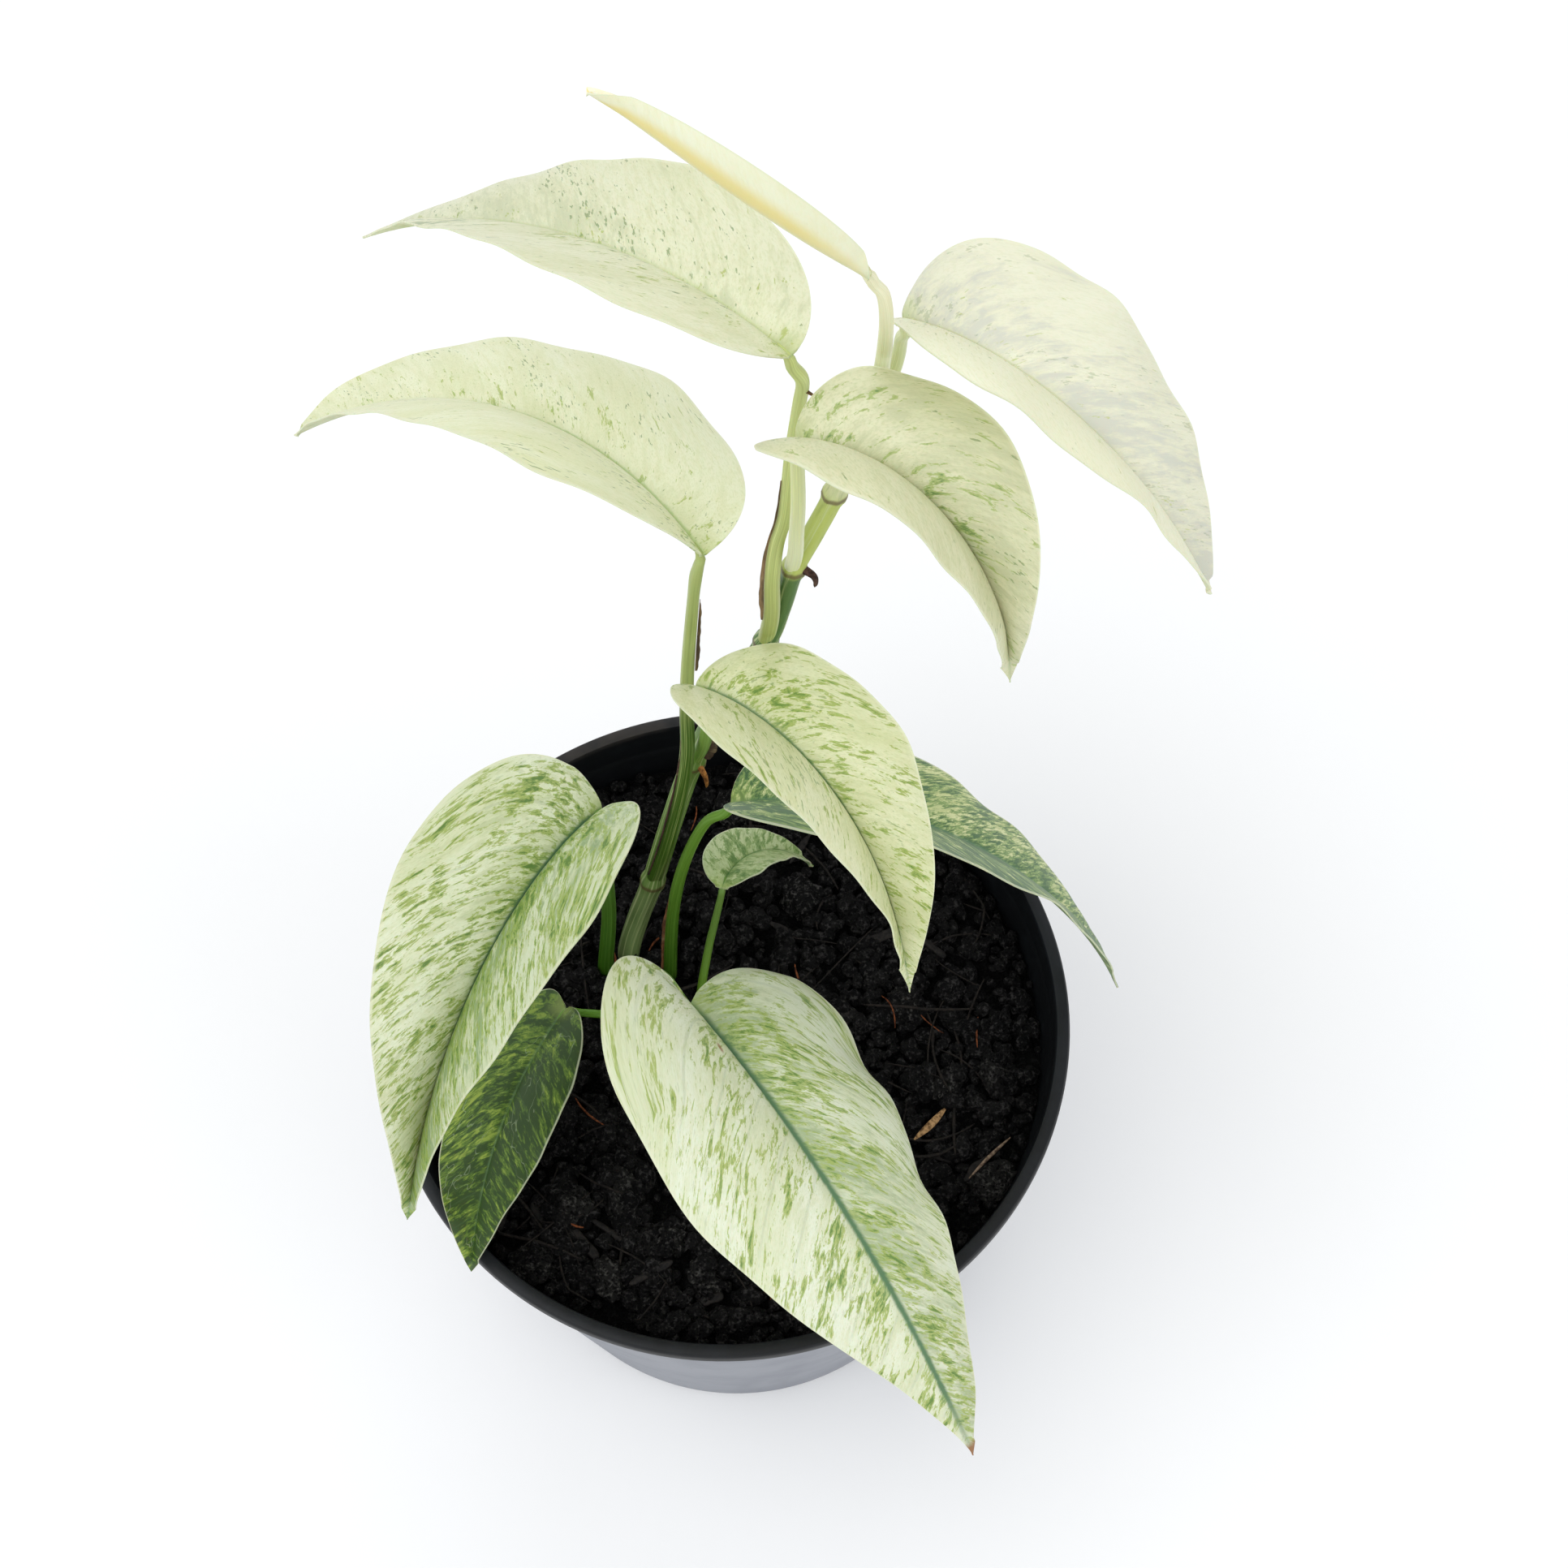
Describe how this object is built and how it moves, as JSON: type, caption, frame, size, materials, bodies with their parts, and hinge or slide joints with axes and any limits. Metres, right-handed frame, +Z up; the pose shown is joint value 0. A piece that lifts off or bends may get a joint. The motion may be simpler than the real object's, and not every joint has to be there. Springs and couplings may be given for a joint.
{
  "type": "potted monstera plant",
  "caption": "Young variegated climbing aroid with pale marbled heart-shaped leaves on long stalks, rooted in dark granular mix in a round tapered nursery pot.",
  "frame": {"origin": "centre of the pot's flat underside, on the surface it stands on", "axes": "+Z up along the pot's axis, +X to the right and -Y towards the viewer in the picture"},
  "size_m": [0.1639, 0.2082, 0.3731],
  "materials": {
    "pot_plastic": "satin",
    "potting_mix": "matte",
    "stem_skin": "satin",
    "leaf_pale_yellow": "satin",
    "leaf_cream": "satin",
    "leaf_marbled": "satin",
    "leaf_green": "satin",
    "dry_sheath": "matte",
    "aerial_root": "matte",
    "dry_litter": "matte"
  },
  "bodies": {
    "root": {"pot": "pot_plastic", "soil": "potting_mix", "stem": "stem_skin", "leaf_top_rolled": "leaf_pale_yellow", "leaf_upper_left": "leaf_cream", "leaf_middle_left": "leaf_cream", "leaf_upper_centre": "leaf_cream", "leaf_upper_right": "leaf_cream", "leaf_centre": "leaf_cream", "leaf_left": "leaf_marbled", "leaf_front": "leaf_marbled", "leaf_low_left": "leaf_green", "leaf_right": "leaf_green", "leaf_small": "leaf_green", "sheath_middle_left": "dry_sheath", "sheath_upper_left": "dry_sheath", "sheath_centre": "dry_sheath", "root_upper": "aerial_root", "root_lower": "aerial_root", "straw": "dry_litter", "twig": "dry_litter"}
  },
  "joints": []
}
